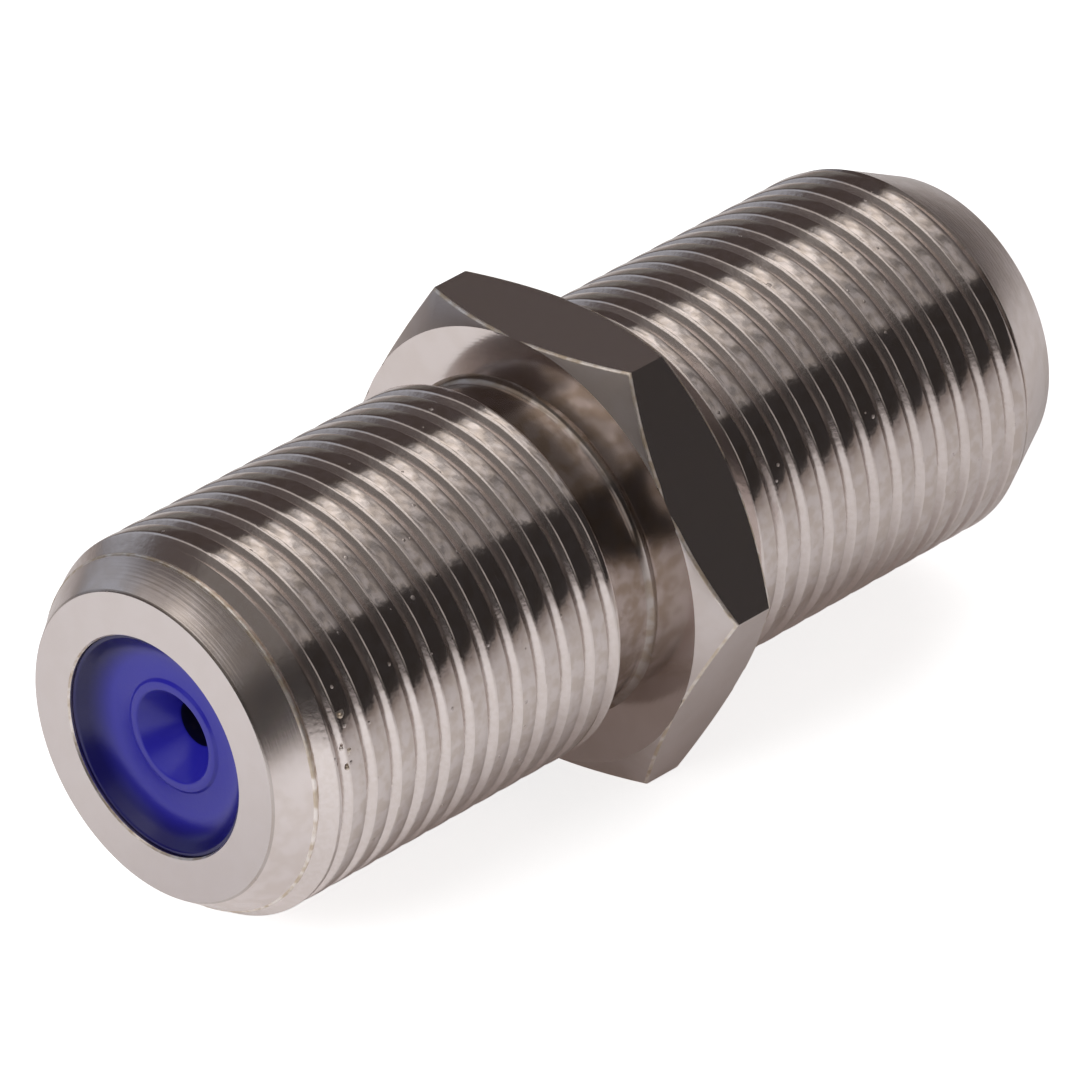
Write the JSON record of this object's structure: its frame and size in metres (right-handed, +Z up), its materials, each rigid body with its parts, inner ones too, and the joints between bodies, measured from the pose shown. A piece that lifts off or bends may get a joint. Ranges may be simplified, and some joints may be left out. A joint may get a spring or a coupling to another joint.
{
  "type": "coaxial barrel splice connector",
  "caption": "Coaxial barrel connector, female at both ends, with externally threaded ends, a hexagonal flange, dished plastic insulators and a slotted centre contact.",
  "frame": {"origin": "point under the middle of the length, on the surface that the lower flange flat rests on", "axes": "+X along the connector's axis from the front end face to the rear end face, +Z up through two opposite flange flats"},
  "size_m": [0.0264, 0.0128, 0.0111],
  "materials": {
    "nickel": "bright nickel plating over turned brass",
    "blue_plastic": "smooth moulded plastic",
    "contact_metal": "bright drawn bronze"
  },
  "bodies": {
    "root": {"body": "nickel", "front_insulator": "blue_plastic", "rear_insulator": "blue_plastic", "contact": "contact_metal"}
  },
  "joints": []
}
